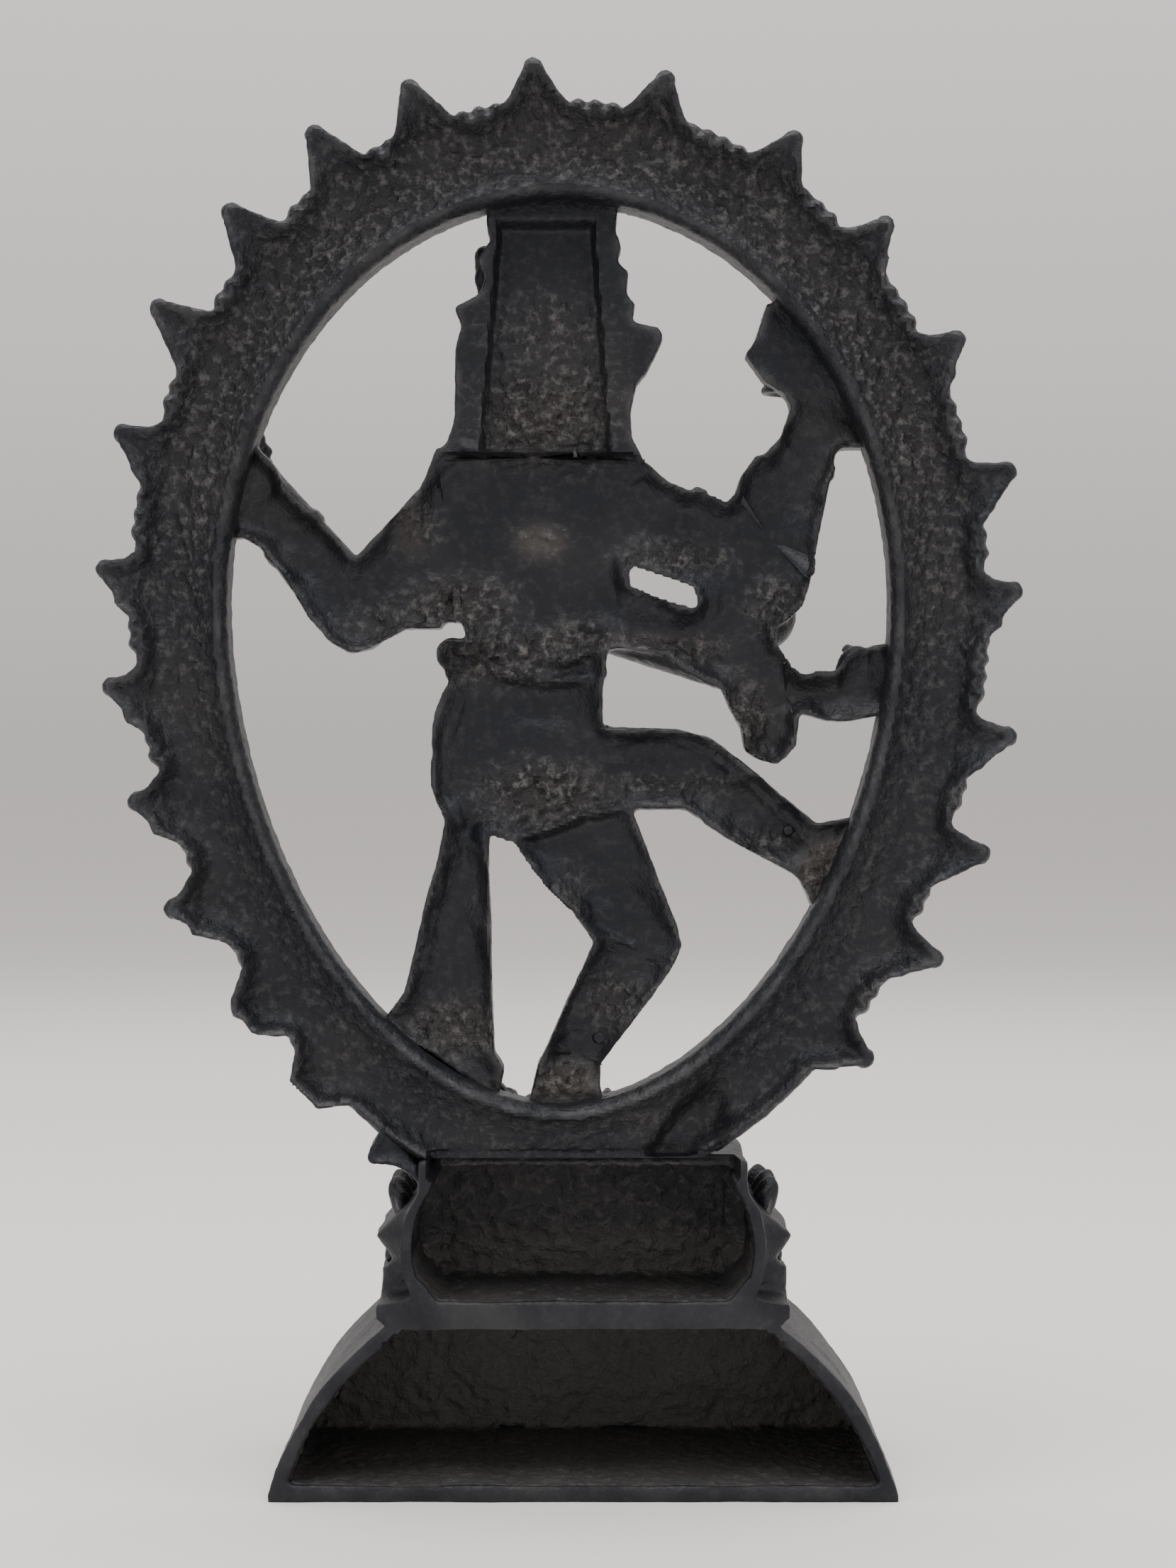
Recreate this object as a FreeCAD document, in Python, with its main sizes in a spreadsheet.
import FreeCAD, Part
import Sketcher
import math
import os

# Dancing figure inside a ring of flames, cast in brass with an open, flat back.
# Frame: +Z up, the figure faces -Y, the origin is the middle of the base's underside.
# Every back rim lies in one plane, half the base's depth behind the origin.

SIZES = [
    # base: an arched box, open at the back
    ("base_half_width", 43.75),
    ("base_top_half_width", 26.0),
    ("base_height", 25.0),
    ("base_depth", 38.0),
    ("base_side_radius", 42.0),
    ("base_wall", 2.0),
    ("base_floor", 2.2),
    ("base_roof", 1.8),
    # pedestal: step plate, lotus and neck, one above the other
    ("step_half_width", 28.6),
    ("step_height", 6.0),
    ("step_depth", 30.0),
    ("lotus_half_width", 29.4),
    ("lotus_foot_half_width", 26.5),
    ("lotus_neck_half_width", 23.0),
    ("lotus_height", 10.5),
    ("lotus_belly_height", 4.2),
    ("lotus_depth", 29.0),
    ("petal_radius", 3.6),
    ("petal_thickness", 1.6),
    ("petal_count", 7),
    ("neck_half_width", 22.6),
    ("neck_height", 5.5),
    ("neck_depth", 26.0),
    ("hollow_half_width", 20.8),
    ("hollow_floor_rise", 2.7),
    ("hollow_front_wall", 4.0),
    ("neck_roof", 1.5),
    # ring of flames
    ("ring_offset", 3.4),
    ("ring_half_width", 46.4),
    ("ring_rise", 56.3),
    ("ring_drop", 69.4),
    ("ring_band", 14.0),
    ("ring_low_band", 11.0),
    ("ring_depth", 10.0),
    ("ring_seat", 7.6),
    ("channel_depth", 4.0),
    ("channel_lip", 1.6),
    ("channel_rim", 3.2),
    ("flame_proud", 4.9),
    ("flame_depth", 8.0),
    ("bead_radius", 1.0),
    ("bead_spacing", 2.3),
    ("scroll_radius", 2.8),
    # figure
    ("figure_recess", 4.5),
    ("ring_bite", 1.2),
    ("fan_thickness", 5.0),
    ("fan_low_half_width", 12.4),
    ("fan_top_half_width", 9.4),
    ("fan_panel_margin", 3.0),
    ("fan_panel_depth", 2.4),
    ("fan_panel_top_gap", 9.0),
    ("head_half_width", 6.4),
    ("head_half_height", 8.2),
    ("crown_foot_radius", 7.0),
    ("crown_tip_radius", 3.2),
    ("chest_half_width", 14.2),
    ("chest_half_depth", 11.0),
    ("chest_half_height", 12.6),
    ("belly_half_width", 9.9),
    ("belly_half_depth", 9.5),
    ("belly_half_height", 10.5),
    ("hip_half_width", 12.0),
    ("hip_half_depth", 10.5),
    ("hip_half_height", 13.2),
    ("sash_thickness", 5.0),
    ("sash_foot_across", 18.8),
    ("sash_foot_half_width", 6.2),
    ("drum_half_length", 5.2),
    ("drum_end_radius", 4.6),
    ("drum_waist_radius", 2.0),
    ("drum_stem_radius", 2.2),
    ("fire_root_radius", 3.6),
    ("fire_height", 11.0),
    ("fire_tip_radius", 0.8),
    ("raised_foot_radius", 5.0),
    ("crown_gap", 5.2),
    ("necklace_radius", 6.4),
    ("necklace_bead_radius", 1.1),
    ("necklace_tilt", 20.0),
    ("anklet_bead_radius", 1.1),
    ("anklet_right_turn", 30.0),
    ("anklet_left_turn", -55.0),
    ("dwarf_half_length", 13.0),
    ("dwarf_half_height", 4.0),
    ("dwarf_half_depth", 5.0),
    ("dwarf_head_radius", 4.0),
]

# Joint centres of the figure: across (+X), forward of the figure's flat back, above the ring's
# centre line, and the limb's radius there.
JOINTS = {
    "neck": (6.0, 3.0, 19.0, 5.2),
    "head": (5.6, 8.0, 30.0, 6.4),
    "fan_foot": (5.6, 0.0, 20.5),
    "chest": (6.5, 0.0, 10.0),
    "belly": (6.5, 0.0, -4.5),
    "hips": (9.2, 0.0, -18.6),
    "hip_right": (1.5, 1.0, -29.0, 8.0),
    "knee_right": (-7.8, 1.0, -46.4, 5.6),
    "ankle_right": (1.4, 0.6, -62.5, 3.8),
    "toe_right": (3.0, 12.0, -66.6, 2.6),
    "hip_left": (3.0, 2.0, -22.4, 6.2),
    "knee_left": (-15.6, 2.0, -23.3, 5.3),
    "ankle_left": (-31.5, 1.0, -34.4, 3.8),
    "shoulder_right": (-6.0, 1.0, 12.6, 6.2),
    "elbow_right": (-26.6, 1.0, 4.4, 5.2),
    "wrist_drum": (-32.2, 1.0, 25.5, 3.8),
    "drum": (-30.4, 2.0, 34.0),
    "shoulder_left": (18.0, 1.0, 9.4, 8.4),
    "elbow_left": (31.8, 1.0, -1.0, 5.4),
    "wrist_fire": (45.4, 3.0, 15.6, 4.2),
    "fire": (49.5, 9.0, 21.0, 4.6),
    "elbow_blessing": (-25.0, 8.5, -1.0, 4.2),
    "palm_blessing": (-23.0, 13.0, 11.5, 3.4),
    "elbow_crossing": (9.0, 11.5, 2.0, 4.2),
    "wrist_crossing": (-22.4, 0.6, -8.4, 4.2),
    "fingers_crossing": (-26.4, 0.6, -19.0, 2.7),
    "cobra_foot": (-27.5, 0.4, -12.6, 2.5),
    "cobra_hood": (-40.0, 0.4, -10.6, 4.6),
    "sash_hip": (15.6, 0.0, -25.0, 3.2),
    "knot": (18.2, 0.6, -6.8, 2.4),
}

# Where each flame stands, in degrees around the ring's own centre, from the right (+X) side.
FLAME_ANGLES = [
    -55, -43, -30, -19, -8, 4, 20, 33, 46, 59, 72,
    87, 104, 119, 135, 151, 166, 178, 192, 204, 214, 228,
]

doc = FreeCAD.newDocument("dancer")
sheet = doc.addObject("Spreadsheet::Sheet", "Sizes")


def fill_sheet():
    """Writes each driving size, and each joint centre, to its own named cell."""
    rows = list(SIZES)
    for joint, values in JOINTS.items():
        for word, value in zip(("across", "fore", "up", "size"), values):
            rows.append((f"{joint}_{word}", value))
    for row, (alias, value) in enumerate(rows, start=1):
        sheet.set(f"A{row}", alias)
        sheet.set(f"B{row}", str(value))
        sheet.setAlias(f"B{row}", alias)
    doc.recompute()


fill_sheet()


def size(alias):
    return float(sheet.get(alias))


def ref(alias):
    return f"Sizes.{alias}"


BACK = f"({ref('base_depth')} / 2)"
FIGURE_BACK = f"({BACK} - {ref('figure_recess')})"
RING_FRONT = f"({BACK} - {ref('ring_depth')})"
STEP_Z = ref("base_height")
LOTUS_Z = f"({STEP_Z} + {ref('step_height')})"
NECK_Z = f"({LOTUS_Z} + {ref('lotus_height')})"
SEAT_Z = f"({NECK_Z} + {ref('neck_height')})"
RING_Z = f"({SEAT_Z} + {ref('ring_seat')} + {ref('ring_drop')})"
RING_X = ref("ring_offset")


def bind(item, **expressions):
    """Binds properties of one object to expressions; a double underscore stands for a dot."""
    for name, expression in expressions.items():
        item.setExpression(name.replace("__", "."), expression)
    return item


def place(item, x, y, z, turn=None):
    where = f"vector({x}; {y}; {z})"
    spin = turn or "rotation(vector(0; 0; 1); 0)"
    item.setExpression("Placement", f"placement({where}; {spin})")
    return item


def box(name, x0, x1, y0, y1, z0, z1):
    item = doc.addObject("Part::Box", name)
    bind(item, Length=f"({x1}) - ({x0})", Width=f"({y1}) - ({y0})", Height=f"({z1}) - ({z0})")
    return place(item, x0, y0, z0)


def rod(name, x, z, radius, y0, y1):
    """A cylinder along Y, from y0 forward to y1."""
    item = doc.addObject("Part::Cylinder", name)
    bind(item, Radius=radius, Height=f"({y0}) - ({y1})")
    return place(item, x, y0, z, "rotation(vector(1; 0; 0); 90)")


def centre(joint):
    """Row coordinates of a joint centre, as three expressions."""
    x = ref(f"{joint}_across")
    y = f"({FIGURE_BACK} - {ref(joint + '_fore')})"
    z = f"({RING_Z} + {ref(joint + '_up')})"
    return x, y, z


def ball(name, joint, radius=None):
    item = doc.addObject("Part::Sphere", name)
    bind(item, Radius=radius or ref(f"{joint}_size"))
    return place(item, *centre(joint))


def egg(name, joint, half_x, half_y, half_z):
    item = doc.addObject("Part::Ellipsoid", name)
    bind(item, Radius1=half_z, Radius2=half_x, Radius3=half_y)
    return place(item, *centre(joint))


# Keeps the turning axis defined where a cone stands upright.
NUDGE = 0.000001


def cone_between(name, start, end, start_radius, end_radius):
    """A cone, or a cylinder, from one point to another; each point is three expressions."""
    dx, dy, dz = (f"({b} - {a})" for a, b in zip(start, end))
    length = f"sqrt({dx}^2 + {dy}^2 + {dz}^2)"
    if start_radius == end_radius:
        item = bind(doc.addObject("Part::Cylinder", name), Radius=start_radius, Height=length)
    else:
        item = doc.addObject("Part::Cone", name)
        bind(item, Radius1=start_radius, Radius2=end_radius, Height=length)
    turn = f"rotation(vector(-{dy}; {dx} + {NUDGE:f}; 0); atan2(sqrt({dx}^2 + {dy}^2); {dz}))"
    return place(item, *start, turn)


def limb(name, joint_a, joint_b):
    """A tapering limb with a ball at both ends."""
    shaft = cone_between(f"{name}_shaft", centre(joint_a), centre(joint_b),
                         ref(f"{joint_a}_size"), ref(f"{joint_b}_size"))
    return fuse(f"{name}_whole", shaft, ball(f"{name}_top", joint_a), ball(f"{name}_end", joint_b))


def fuse(name, *items):
    item = doc.addObject("Part::MultiFuse", name)
    item.Shapes = list(items)
    return item


def overlap(name, *items):
    item = doc.addObject("Part::MultiCommon", name)
    item.Shapes = list(items)
    return item


def cut(name, base, *tools):
    """What is left of base once every tool is taken away."""
    item = doc.addObject("Part::Cut", name)
    item.Base = base
    item.Tool = tools[0] if len(tools) == 1 else fuse(f"{name}_tools", *tools)
    return item


PIECES = {}


def keep(node, item):
    item.Label = node
    PIECES[node] = item
    return item


def make_base():
    """The arched box: a roof, a front wall and a floor, open at the back."""
    low = ref("base_half_width")
    high = ref("base_top_half_width")
    tall = ref("base_height")
    radius = ref("base_side_radius")
    chord = f"sqrt(({low} - {high})^2 + {tall}^2)"
    reach = f"sqrt({radius}^2 - ({chord} / 2)^2)"
    middle_x = f"(({low} + {high}) / 2 - {reach} * {tall} / {chord})"
    middle_z = f"({tall} / 2 - {reach} * ({low} - {high}) / {chord})"

    def arch(name, inset, z0, z1, y0, y1):
        halves = []
        for side, sign in (("left", "-"), ("right", "")):
            inner_x, outer_x = (f"-{low}", "0") if sign else ("0", low)
            slab = box(f"{name}_{side}_slab", inner_x, outer_x, y0, y1, z0, z1)
            round_side = rod(f"{name}_{side}_side", f"{sign}{middle_x}", middle_z,
                             f"{radius} - {inset}", y1, y0)
            halves.append(overlap(f"{name}_{side}", slab, round_side))
        return fuse(f"{name}_whole", *halves)

    outer = arch("base_outside", "0", "0", tall, f"-{BACK}", BACK)
    inner = arch("base_inside", ref("base_wall"), ref("base_floor"), f"{tall} - {ref('base_roof')}",
                 f"{ref('base_wall')} - {BACK}", f"{BACK} + {ref('base_wall')}")
    return keep("base_shell", cut("base_cut", outer, inner))


def plate(name, corners, y0, depth):
    """A closed outline of (x, z) expressions, padded forward from y0."""
    body = doc.addObject("PartDesign::Body", name)
    sketch = body.newObject("Sketcher::SketchObject", f"{name}_outline")
    plane = [item for item in body.Origin.OriginFeatures if item.Role == "XZ_Plane"][0]
    sketch.AttachmentSupport = [(plane, "")]
    sketch.MapMode = "FlatFace"
    places = [(value_of(x), value_of(z)) for x, z in corners]
    for index, start in enumerate(places):
        end = places[(index + 1) % len(places)]
        sketch.addGeometry(Part.LineSegment(FreeCAD.Vector(*start, 0), FreeCAD.Vector(*end, 0)), False)
    for index in range(len(places)):
        after = (index + 1) % len(places)
        sketch.addConstraint(Sketcher.Constraint("Coincident", index, 2, after, 1))
    for index, (x, z) in enumerate(corners):
        pin_down(sketch, "DistanceX", index, places[index][0], x)
        pin_down(sketch, "DistanceY", index, places[index][1], z)
    pad = body.newObject("PartDesign::Pad", f"{name}_pad")
    pad.Profile = sketch
    pad.setExpression("Length", depth)
    return place(body, "0", y0, "0")


def prism(name, half_profile, y0, depth):
    """A plate that is symmetric about X = 0, given by the corners up its +X side."""
    mirrored = [(f"-({x})", z) for x, z in reversed(half_profile)]
    return plate(name, half_profile + mirrored, y0, depth)


def value_of(expression):
    """The number that an expression in the sheet's sizes has now."""
    return float(sheet.evalExpression(expression.replace("Sizes.", "")))


def pin_down(sketch, kind, index, value, expression):
    constraint = sketch.addConstraint(Sketcher.Constraint(kind, -1, 1, index, 1, value))
    name = f"{kind}_{index}"
    sketch.renameConstraint(constraint, name)
    sketch.setExpression(f"Constraints.{name}", expression)


def make_pedestal():
    """Step plate, lotus with its petals, and neck; a hollow runs up through all three."""
    hollow_front = f"({BACK} - {ref('neck_depth')} + {ref('hollow_front_wall')})"
    half = ref("hollow_half_width")
    hollow = box("pedestal_hollow", f"-{half}", half, hollow_front, f"{BACK} + 1",
                 f"{STEP_Z} + {ref('hollow_floor_rise')}", f"{SEAT_Z} - {ref('neck_roof')}")
    step = box("step_block", f"-{ref('step_half_width')}", ref("step_half_width"),
               f"{BACK} - {ref('step_depth')}", BACK, STEP_Z, LOTUS_Z)
    keep("step_plate", cut("step_cut", step, hollow))
    belly = f"{LOTUS_Z} + {ref('lotus_belly_height')}"
    profile = [(ref("lotus_foot_half_width"), LOTUS_Z), (ref("lotus_half_width"), belly),
               (ref("lotus_neck_half_width"), NECK_Z)]
    lotus = prism("lotus_block", profile, BACK, ref("lotus_depth"))
    keep("lotus_seat", cut("lotus_cut", lotus, hollow))
    neck = box("neck_block", f"-{ref('neck_half_width')}", ref("neck_half_width"),
               f"{BACK} - {ref('neck_depth')}", BACK, NECK_Z, SEAT_Z)
    keep("pedestal_neck", cut("neck_cut", neck, hollow))
    front = f"({BACK} - {ref('lotus_depth')})"
    count = int(size("petal_count"))
    petals = []
    for index in range(count):
        share = (index + 0.5) / count * 2 - 1
        x = f"({share:.6f} * {ref('lotus_foot_half_width')})"
        petals.append(rod(f"petal_{index + 1}", x, belly, ref("petal_radius"), front,
                          f"{front} - {ref('petal_thickness')}"))
    group = doc.addObject("Part::Compound", "petal_group")
    group.Links = petals
    keep("lotus_petals", group)


def ellipse_pair(sketch, tag, half, rise, drop):
    """Two half ellipses that meet on the sketch's X axis: the upper one is the less tall."""
    for word, tall, sign in (("upper", rise, 1), ("lower", drop, -1)):
        top = FreeCAD.Vector(0, sign * value_of(tall), 0)
        side = FreeCAD.Vector(value_of(half), 0, 0)
        ellipse = Part.Ellipse(top, side, FreeCAD.Vector(0, 0, 0))
        arc = sketch.addGeometry(Part.ArcOfEllipse(ellipse, -math.pi / 2, math.pi / 2), False)
        sketch.exposeInternalGeometry(arc)
        sketch.addConstraint(Sketcher.Constraint("Coincident", arc, 3, -1, 1))
        sketch.addConstraint(Sketcher.Constraint("Vertical", arc + 1))
        sketch.addConstraint(Sketcher.Constraint("PointOnObject", arc, 1, -1))
        sketch.addConstraint(Sketcher.Constraint("PointOnObject", arc, 2, -1))
        for kind, line, length, name in (("DistanceY", arc + 1, tall, "tall"),
                                         ("DistanceX", arc + 2, half, "wide")):
            shape = sketch.Geometry[line]
            span = shape.EndPoint - shape.StartPoint
            amount = span.y if kind == "DistanceY" else span.x
            constraint = sketch.addConstraint(Sketcher.Constraint(kind, line, 1, line, 2, amount))
            label = f"{tag}_{word}_{name}"
            sketch.renameConstraint(constraint, label)
            sketch.setExpression(f"Constraints.{label}", f"{'-' if amount < 0 else ''}2 * ({length})")


def hoop(name, inner, outer, y0, depth):
    """An upright oval hoop between two pairs of half ellipses, padded forward from y0."""
    body = doc.addObject("PartDesign::Body", name)
    sketch = body.newObject("Sketcher::SketchObject", f"{name}_outline")
    plane = [item for item in body.Origin.OriginFeatures if item.Role == "XZ_Plane"][0]
    sketch.AttachmentSupport = [(plane, "")]
    sketch.MapMode = "FlatFace"
    ellipse_pair(sketch, "inner", *inner)
    ellipse_pair(sketch, "outer", *outer)
    pad = body.newObject("PartDesign::Pad", f"{name}_pad")
    pad.Profile = sketch
    pad.setExpression("Length", depth)
    place(body, RING_X, y0, RING_Z)
    return body


def ring_radii(margin_in, band):
    """Half width, rise and drop of the oval that lies margin_in outside the opening."""
    low = band.replace("ring_band", "ring_low_band")
    return (f"{ref('ring_half_width')} + {margin_in} + {band}",
            f"{ref('ring_rise')} + {margin_in} + {band}",
            f"{ref('ring_drop')} + {margin_in} + {low}")


def make_ring():
    """The hoop with a channel in its back, cut flat where it sits on the neck."""
    band = ref("ring_band")
    solid = hoop("ring_solid", ring_radii("0", "0"), ring_radii("0", band), BACK,
                 ref("ring_depth"))
    channel = hoop("ring_channel", ring_radii(ref("channel_lip"), "0"),
                   ring_radii(f"(-{ref('channel_rim')})", band), BACK, ref("channel_depth"))
    reach = f"({ref('ring_half_width')} + {band} + 1)"
    below = box("ring_below", f"{RING_X} - {reach}", f"{RING_X} + {reach}", RING_FRONT + " - 1",
                BACK + " + 1", f"{SEAT_Z} - {reach}", SEAT_Z)
    keep("flame_ring", cut("ring_cut", solid, channel, below))
    return solid


def ring_edge(angle, half, rise, drop):
    """A point on an oval at an angle, and the direction that faces straight out there."""
    tall = rise if angle % 360 < 180 else drop
    across = f"cos({angle} deg)"
    up = f"sin({angle} deg)"
    return (f"({RING_X} + ({half}) * {across})", f"({RING_Z} + ({tall}) * {up})",
            f"atan2({up} / ({tall}); {across} / ({half}))")


def make_flames(solid):
    """Tongues of flame round the ring's edge, with a row of beads in each gap."""
    half, rise, drop = ring_radii("0", ref("ring_band"))
    depth = ref("flame_depth")
    back_face = f"({RING_FRONT} + {depth})"
    proud = ref("flame_proud")
    root = f"(({ref('ring_low_band')} + {proud}) / 2)"
    tongues = []
    for number, angle in enumerate(FLAME_ANGLES, start=1):
        x, z, out = ring_edge(angle, half, rise, drop)
        tongue = doc.addObject("Part::Prism", f"tongue_{number:02d}")
        tongue.Polygon = 4
        bind(tongue, Circumradius=root, Height=depth)
        place(tongue, f"{x} + ({proud} - {root}) * cos({out})", back_face,
              f"{z} + ({proud} - {root}) * sin({out})",
              f"rotation(vector(1; 0; 0); 90) * rotation(vector(0; 0; 1); {out})")
        keep(f"flame_{number:02d}", cut(f"tongue_cut_{number:02d}", tongue, solid))
        tongues.append(tongue)
    beads = []
    for start, end in zip(FLAME_ANGLES, FLAME_ANGLES[1:]):
        middle = math.radians((start + end) / 2)
        tall = value_of(rise if math.sin(middle) > 0 else drop)
        run = math.hypot(value_of(half) * math.sin(middle), tall * math.cos(middle))
        taken = 2 * (size("flame_proud") + size("bead_radius"))
        room = math.radians(end - start) * run - taken
        count = max(1, int(room / size("bead_spacing")))
        step = math.degrees(size("bead_spacing") / run)
        for place_in_row in range(count):
            offset = place_in_row - (count - 1) / 2
            x, z, out = ring_edge(math.degrees(middle) + offset * step, half, rise, drop)
            beads.append(rod(f"bead_{len(beads) + 1:02d}", x, z, ref("bead_radius"), back_face,
                             RING_FRONT))
    group = doc.addObject("Part::Compound", "bead_group")
    group.Links = beads
    keep("ring_beads", cut("bead_cut", group, solid, *tongues))


def oval_x(z, side):
    """Where the ring's opening is at a height below or above its centre line."""
    tall = ref("ring_drop") if side == "low" else ref("ring_rise")
    return f"{ref('ring_half_width')} * sqrt(1 - (({z} - {RING_Z}) / ({tall}))^2)"


def oval_z(x):
    """How far below the centre line the ring's opening is at a place across it."""
    return f"{ref('ring_drop')} * sqrt(1 - (({x} - {RING_X}) / {ref('ring_half_width')})^2)"


def make_figure(solid):
    """The dancer, from the torso outwards; each piece meets the one before it face to face."""
    far = "400"
    behind = box("behind_figure", f"-{far}", far, FIGURE_BACK, f"{FIGURE_BACK} + {far}",
                 "0", f"2 * {far}")
    bite = ref("ring_bite")

    chest = egg("chest_egg", "chest", ref("chest_half_width"), ref("chest_half_depth"),
                ref("chest_half_height"))
    belly = egg("belly_egg", "belly", ref("belly_half_width"), ref("belly_half_depth"),
                ref("belly_half_height"))
    neck = ball("neck_ball", "neck")
    torso = fuse("torso_whole", chest, belly, neck)
    keep("torso", cut("torso_cut", torso, behind))

    hips = egg("hip_egg", "hips", ref("hip_half_width"), ref("hip_half_depth"), ref("hip_half_height"))
    keep("hip_cloth", cut("hip_cut", hips, behind, torso))

    knot = ball("knot_ball", "knot")
    keep("sash_knot", cut("knot_cut", knot, behind, torso, hips))

    thigh_r = limb("thigh_right", "hip_right", "knee_right")
    keep("standing_thigh", cut("thigh_right_cut", thigh_r, behind, hips, torso))
    shin_r = limb("shin_right", "knee_right", "ankle_right")
    keep("standing_shin", cut("shin_right_cut", shin_r, behind, thigh_r))
    thigh_l = limb("thigh_left", "hip_left", "knee_left")
    keep("raised_thigh", cut("thigh_left_cut", thigh_l, behind, hips, torso, thigh_r))
    shin_l = limb("shin_left", "knee_left", "ankle_left")
    keep("raised_shin", cut("shin_left_cut", shin_l, behind, thigh_l, solid))

    ankle = centre("ankle_right")
    ground = f"({RING_Z} - {oval_z(ankle[0])} - {bite})"
    heel = cone_between("heel", ankle, (ankle[0], ankle[1], ground), ref("ankle_right_size"),
                        ref("ankle_right_size"))
    sole = cone_between("sole", ankle, centre("toe_right"), ref("ankle_right_size"),
                        ref("toe_right_size"))
    toes = ball("toes", "toe_right")
    foot_r = fuse("foot_right_whole", heel, sole, toes)

    ankle = centre("ankle_left")
    wall = f"({RING_X} - {oval_x(ankle[2], 'low')} - {bite})"
    foot_l = cone_between("foot_left_whole", ankle, (wall, ankle[1], ankle[2]),
                          ref("ankle_left_size"), ref("raised_foot_radius"))
    keep("raised_foot", cut("foot_left_cut", foot_l, behind, shin_l, solid))

    top_x, sash_back, top_z = centre("sash_hip")
    top_half = ref("sash_hip_size")
    foot_x = ref("sash_foot_across")
    foot_half = ref("sash_foot_half_width")
    foot_z = f"{RING_Z} - {oval_z(f'({foot_x} - {foot_half})')} - {bite}"
    sash = plate("sash_plate", [(f"{top_x} - {top_half}", top_z), (f"{foot_x} - {foot_half}", foot_z),
                                (f"{foot_x} + {foot_half}", foot_z), (f"{top_x} + {top_half}", top_z)],
                 sash_back, ref("sash_thickness"))
    keep("hanging_sash", cut("sash_cut", sash, behind, hips, torso, solid))

    make_head(torso, behind, solid)
    make_arms(torso, behind, solid, hips)
    dwarf = make_dwarf(solid)
    keep("standing_foot", cut("foot_right_cut", foot_r, behind, shin_r, solid, dwarf))
    make_anklets((behind, solid), (thigh_r, shin_r, foot_r), (thigh_l, shin_l, foot_l))


def make_head(torso, behind, solid):
    """Fan of hair that runs up to the ring, head and crown in front of it, and the necklace."""
    foot_x, _, foot_z = centre("fan_foot")
    top = f"({RING_Z} + {ref('ring_rise')} + {ref('ring_bite')})"
    low = ref("fan_low_half_width")
    high = ref("fan_top_half_width")
    fan = prism("fan_block", [(low, foot_z), (low, f"({foot_z} + {top}) / 2"), (high, top)],
                FIGURE_BACK, ref("fan_thickness"))
    place(fan, foot_x, FIGURE_BACK, "0")
    margin = ref("fan_panel_margin")
    panel = prism("fan_panel", [(f"{low} - {margin}", f"{foot_z} + 1"),
                                (f"{high} - {margin}", f"{top} - {ref('fan_panel_top_gap')}")],
                  f"{FIGURE_BACK} + 1", f"{ref('fan_panel_depth')} + 1")
    place(panel, foot_x, f"{FIGURE_BACK} + 1", "0")
    keep("hair_fan", cut("fan_cut", fan, panel, torso, solid))
    head = egg("head_egg", "head", ref("head_half_width"), ref("head_size"), ref("head_half_height"))
    keep("head", cut("head_cut", head, fan, torso))
    x, y, z = centre("head")
    crown = cone_between("crown_cone", (x, y, z), (x, y, f"({top} - {ref('crown_gap')})"),
                         ref("crown_foot_radius"), ref("crown_tip_radius"))
    keep("crown", cut("crown_cut", crown, fan, head, torso, solid))
    necklace = doc.addObject("Part::Torus", "necklace_torus")
    bind(necklace, Radius1=ref("necklace_radius"), Radius2=ref("necklace_bead_radius"))
    place(necklace, *centre("neck"), f"rotation(vector(1; 0; 0); {ref('necklace_tilt')})")
    keep("necklace", cut("necklace_cut", necklace, behind, torso, fan, head))


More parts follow.
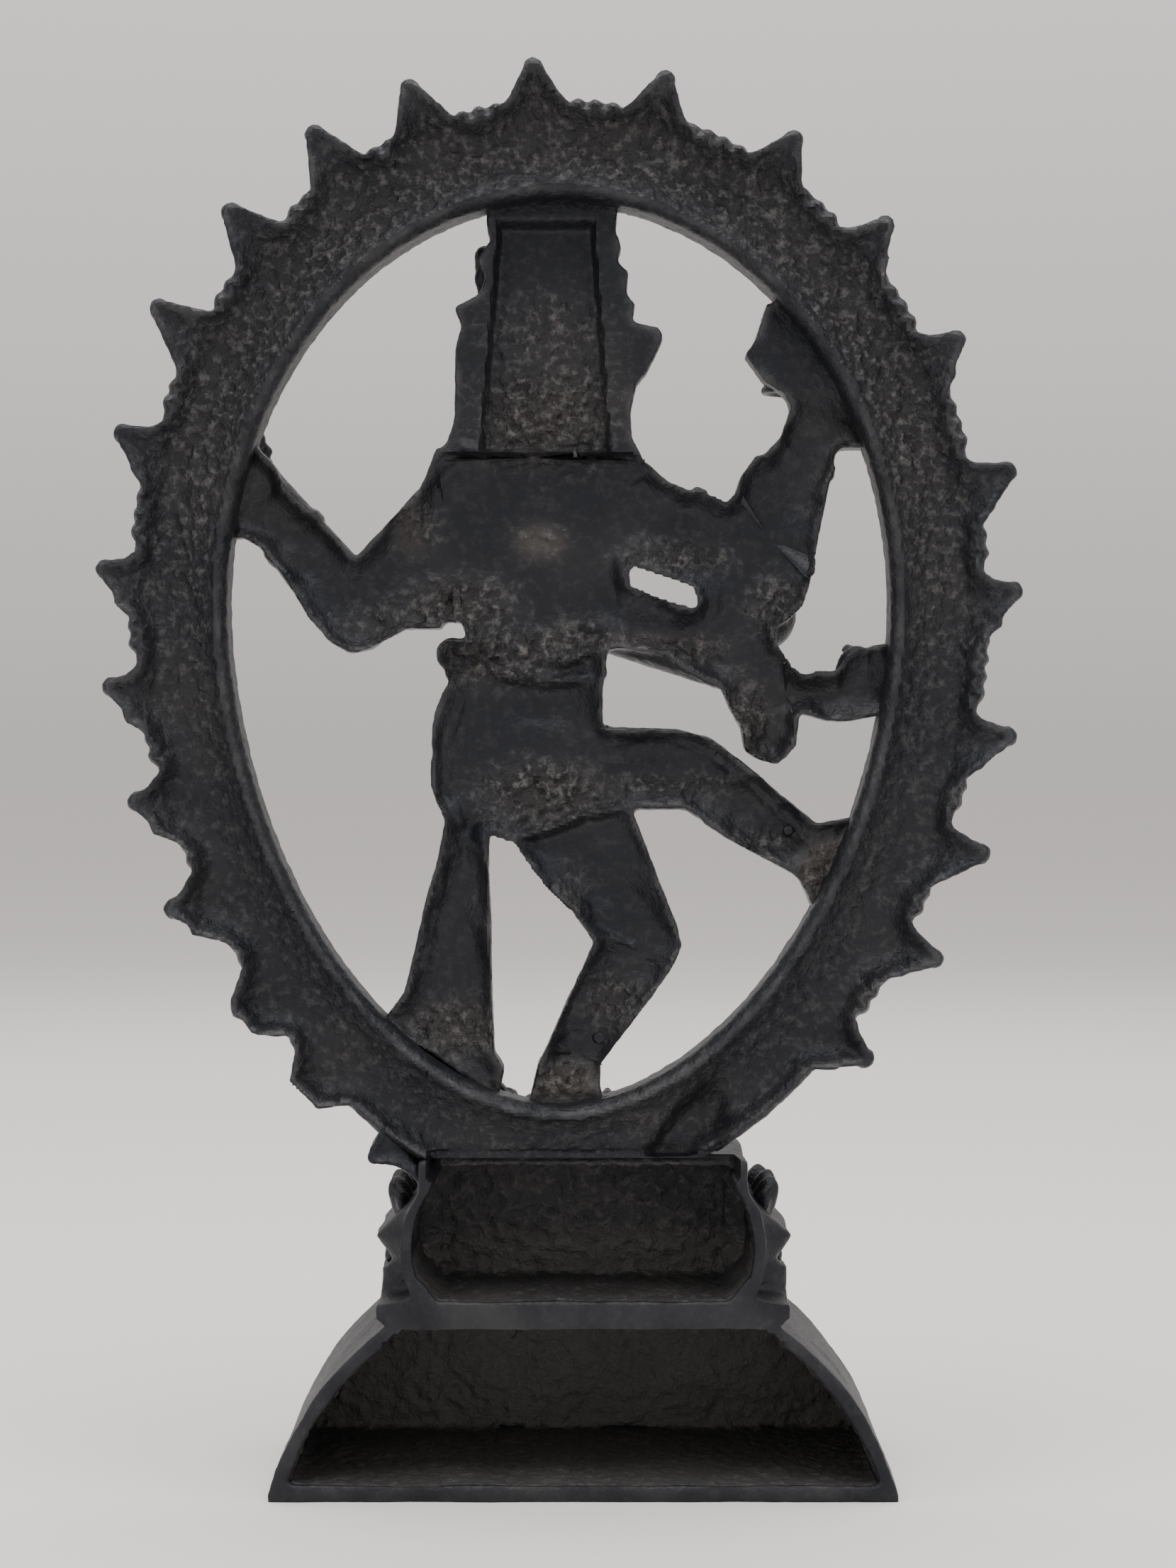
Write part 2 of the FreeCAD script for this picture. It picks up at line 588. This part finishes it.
def make_arms(torso, behind, solid, hips):
    """Four arms, the drum, the flame bowl and the cobra."""
    upper_r = limb("rear_right_arm", "shoulder_right", "elbow_right")
    keep("drum_upper_arm", cut("rear_right_cut", upper_r, behind, torso))
    fore_r = limb("drum_arm", "elbow_right", "wrist_drum")
    keep("drum_forearm", cut("drum_arm_cut", fore_r, behind, upper_r, torso, solid))

    x, y, z = centre("drum")
    long = ref("drum_half_length")
    ends = [cone_between(f"drum_{side}", (x, y, z), (x, y, f"({z} {sign} {long})"),
                         ref("drum_waist_radius"), ref("drum_end_radius"))
            for side, sign in (("top", "+"), ("foot", "-"))]
    wall = f"({RING_X} - {oval_x(z, 'high')} - {ref('ring_bite')})"
    stem = cone_between("drum_stem", (x, y, z), (wall, y, z), ref("drum_stem_radius"),
                        ref("drum_stem_radius"))
    drum = fuse("drum_whole", *ends, stem)
    keep("drum", cut("drum_cut", drum, behind, fore_r, solid))

    upper_l = limb("rear_left_arm", "shoulder_left", "elbow_left")
    keep("fire_upper_arm", cut("rear_left_cut", upper_l, behind, torso, hips))
    x, y, z = centre("wrist_fire")
    wall = f"({RING_X} + {oval_x(z, 'high')} + {ref('ring_bite')})"
    fore_l = fuse("fire_arm_all", limb("fire_arm", "elbow_left", "wrist_fire"),
                  cone_between("fire_arm_root", (x, y, z), (wall, y, z), ref("fire_root_radius"),
                               ref("fire_root_radius")))
    keep("fire_forearm", cut("fire_arm_cut", fore_l, behind, upper_l, solid))
    x, y, z = centre("fire")
    bowl = ball("fire_ball", "fire")
    tip = cone_between("fire_tip", (x, y, z), (x, y, f"({z} + {ref('fire_height')})"),
                       ref("fire_size"), ref("fire_tip_radius"))
    keep("fire_bowl", cut("fire_cut", fuse("fire_whole", bowl, tip), fore_l, solid, behind))

    cross_upper = limb("crossing_upper", "shoulder_left", "elbow_crossing")
    cross_fore = limb("crossing_fore", "elbow_crossing", "wrist_crossing")
    crossing = fuse("crossing_whole", cross_upper, cross_fore)
    keep("crossing_arm", cut("crossing_cut", crossing, behind, torso, upper_l, upper_r, hips))
    hand = limb("crossing_hand", "wrist_crossing", "fingers_crossing")
    keep("crossing_hand", cut("crossing_hand_cut", hand, behind, cross_fore))

    bless = limb("blessing_arm", "elbow_blessing", "palm_blessing")
    root = ball("blessing_root", "elbow_blessing", ref("elbow_right_size"))
    blessing = fuse("blessing_whole", bless, root)
    keep("blessing_arm", cut("blessing_cut", blessing, behind, upper_r, fore_r, crossing, torso))

    x, y, z = centre("cobra_hood")
    wall = f"({RING_X} - {oval_x(z, 'low')} - {ref('ring_bite')})"
    body = cone_between("cobra_body", centre("cobra_foot"), (wall, y, z), ref("cobra_foot_size"),
                        ref("cobra_foot_size"))
    cobra = fuse("cobra_whole", body, ball("cobra_hood_ball", "cobra_hood"))
    keep("cobra", cut("cobra_cut", cobra, behind, hand, crossing, solid))


def make_dwarf(solid):
    """The dwarf that lies on the pedestal in front of the ring, under the standing foot."""
    depth = ref("dwarf_half_depth")
    y = f"({RING_FRONT} - {depth})"
    z = f"({SEAT_Z} + {ref('dwarf_half_height')})"
    body = doc.addObject("Part::Ellipsoid", "dwarf_egg")
    bind(body, Radius1=ref("dwarf_half_height"), Radius2=ref("dwarf_half_length"), Radius3=depth)
    place(body, "0", y, z)
    head = doc.addObject("Part::Sphere", "dwarf_head_ball")
    bind(head, Radius=ref("dwarf_head_radius"))
    place(head, ref("dwarf_half_length"), y, f"({SEAT_Z} + {ref('dwarf_head_radius')})")
    keep("dwarf_body", cut("dwarf_body_cut", body, solid))
    keep("dwarf_head", cut("dwarf_head_cut", head, body, solid))
    return body


def make_anklets(bounds, right_leg, left_leg):
    """A ring round each ankle; both are one group."""
    rings = []
    for joint, leg, turn in (("ankle_right", right_leg, "anklet_right_turn"),
                             ("ankle_left", left_leg, "anklet_left_turn")):
        torus = doc.addObject("Part::Torus", f"{joint}_torus")
        bind(torus, Radius1=ref(f"{joint}_size"), Radius2=ref("anklet_bead_radius"))
        place(torus, *centre(joint), f"rotation(vector(0; 1; 0); {ref(turn)})")
        rings.append(cut(f"{joint}_ring", torus, *bounds, *leg))
    group = doc.addObject("Part::Compound", "anklet_group")
    group.Links = rings
    keep("anklets", group)


def make_scroll(solid):
    """The curled tail at the ring's foot, beside the neck."""
    x = f"({ref('neck_half_width')} + {ref('scroll_radius')})"
    z = f"({SEAT_Z} + {ref('scroll_radius')} / 2)"
    curl = rod("scroll_rod", x, z, ref("scroll_radius"), BACK, RING_FRONT)
    neck_room = box("scroll_neck_room", f"-{ref('neck_half_width')}", ref("neck_half_width"),
                    RING_FRONT + " - 1", f"{BACK} + 1", NECK_Z, SEAT_Z)
    keep("ring_scroll", cut("scroll_cut", curl, solid, neck_room))


def check_and_write():
    """Every object must be sound before any file is written."""
    doc.recompute()
    for item in doc.Objects:
        faults = [word for word in item.State if word in ("Invalid", "Error")]
        if faults:
            raise RuntimeError(f"{item.Name} is {faults}")
    for node, item in PIECES.items():
        if item.Shape.isNull() or not item.Shape.isValid() or not item.Shape.Solids:
            raise RuntimeError(f"{node} has no sound solid")
    os.makedirs("parts", exist_ok=True)
    for node, item in PIECES.items():
        item.Shape.exportStep(f"parts/{node}.step")


make_base()
make_pedestal()
ring = make_ring()
make_flames(ring)
make_scroll(ring)
make_figure(ring)
check_and_write()
